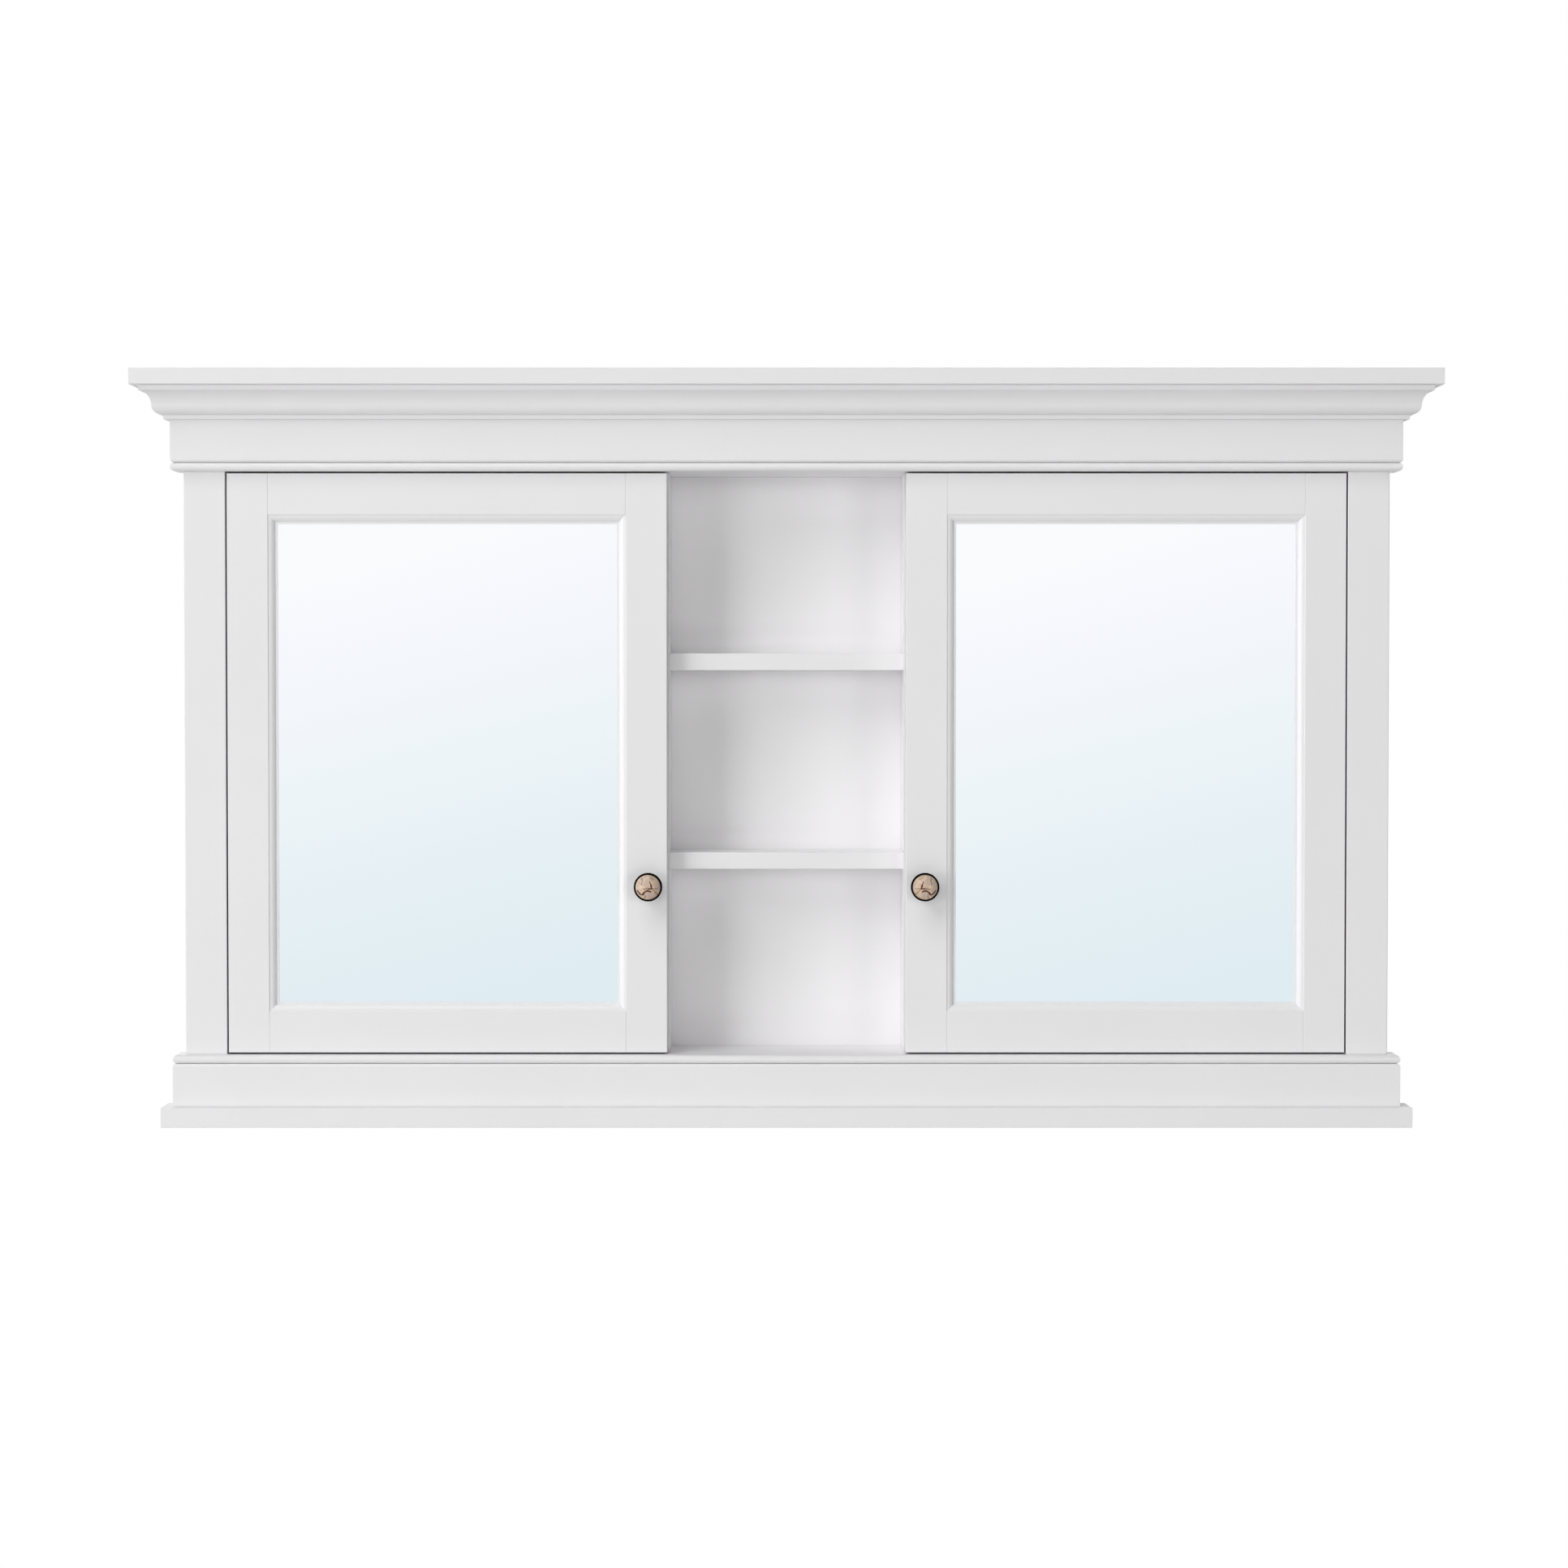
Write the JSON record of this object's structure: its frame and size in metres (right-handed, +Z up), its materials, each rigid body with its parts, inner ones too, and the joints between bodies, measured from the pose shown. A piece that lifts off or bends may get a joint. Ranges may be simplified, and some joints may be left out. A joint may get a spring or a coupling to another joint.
{
  "type": "recessed medicine cabinet",
  "caption": "White recessed medicine cabinet with mirrored framed doors on concealed hinges, an open shelf bay between them, and a moulded crown and plinth.",
  "frame": {"origin": "centre of the wall opening, on the wall's surface, at the middle height of the face frame's opening", "axes": "+X to the right along the cabinet's width, +Y into the wall, +Z up; the doors and knobs face -Y"},
  "size_m": [1.2192, 0.1317, 0.7088],
  "materials": {
    "white_paint": "satin white paint",
    "door_paint": "satin white paint",
    "mirror_glass": "silvered, polished",
    "hardboard": "bare hardboard",
    "bronze": "dark bronzed metal with a bright rim",
    "stone": "polished cream stone with brown veins",
    "nickel": "nickel-plated pressed steel",
    "steel": "bright steel",
    "bumper": "clear soft bumper"
  },
  "bodies": {
    "cabinet": {"left_pilaster": "white_paint", "left_side_panel": "white_paint", "left_partition": "white_paint", "left_crown_return": "white_paint", "left_upper_frieze_return": "white_paint", "left_lower_frieze_return": "white_paint", "left_plinth_return": "white_paint", "left_shelf_lower": "white_paint", "left_shelf_upper": "white_paint", "right_pilaster": "white_paint", "right_side_panel": "white_paint", "right_partition": "white_paint", "right_crown_return": "white_paint", "right_upper_frieze_return": "white_paint", "right_lower_frieze_return": "white_paint", "right_plinth_return": "white_paint", "right_shelf_lower": "white_paint", "right_shelf_upper": "white_paint", "upper_rail": "white_paint", "lower_rail": "white_paint", "crown_front": "white_paint", "crown_cap": "white_paint", "upper_frieze_front": "white_paint", "lower_frieze_front": "white_paint", "plinth_front": "white_paint", "top_panel": "white_paint", "bottom_panel": "white_paint", "back_panel": "white_paint", "centre_shelf_lower": "white_paint", "centre_shelf_upper": "white_paint", "left_hinge_arms": "nickel", "right_hinge_arms": "nickel", "shelf_pins": "steel", "door_bumpers": "bumper"},
    "left_door": {"left_door_hinge_stile": "door_paint", "left_door_lock_stile": "door_paint", "left_door_top_rail": "door_paint", "left_door_bottom_rail": "door_paint", "left_mirror": "mirror_glass", "left_backing_board": "hardboard", "left_mirror_beads": "door_paint", "left_knob_base": "bronze", "left_knob_stone": "stone", "left_hinge_cups": "nickel", "left_hinge_pins": "steel"},
    "right_door": {"right_door_hinge_stile": "door_paint", "right_door_lock_stile": "door_paint", "right_door_top_rail": "door_paint", "right_door_bottom_rail": "door_paint", "right_mirror": "mirror_glass", "right_backing_board": "hardboard", "right_mirror_beads": "door_paint", "right_knob_base": "bronze", "right_knob_stone": "stone", "right_hinge_cups": "nickel", "right_hinge_pins": "steel"},
    "left_hinge_link": {"left_hinge_links": "nickel"},
    "right_hinge_link": {"right_hinge_links": "nickel"}
  },
  "joints": [
    {"name": "left_door_hinge", "type": "hinge", "parent": "cabinet", "child": "left_door", "pos_m": [-0.526, -0.01905, 0], "axis": [0, 0, -1], "range_deg": [0, 95]},
    {"name": "left_link_pivot", "type": "hinge", "parent": "left_door", "child": "left_hinge_link", "pos_m": [-0.515, -0.00555, 0], "axis": [0, 0, -1], "range_deg": [-95, 0]},
    {"name": "right_door_hinge", "type": "hinge", "parent": "cabinet", "child": "right_door", "pos_m": [0.526, -0.01905, 0], "axis": [0, 0, 1], "range_deg": [0, 95]},
    {"name": "right_link_pivot", "type": "hinge", "parent": "right_door", "child": "right_hinge_link", "pos_m": [0.515, -0.00555, 0], "axis": [0, 0, 1], "range_deg": [-95, 0]}
  ],
  "couplings": [
    {"joint": "left_link_pivot", "follows": "left_door_hinge", "ratio": -1},
    {"joint": "right_link_pivot", "follows": "right_door_hinge", "ratio": -1}
  ]
}
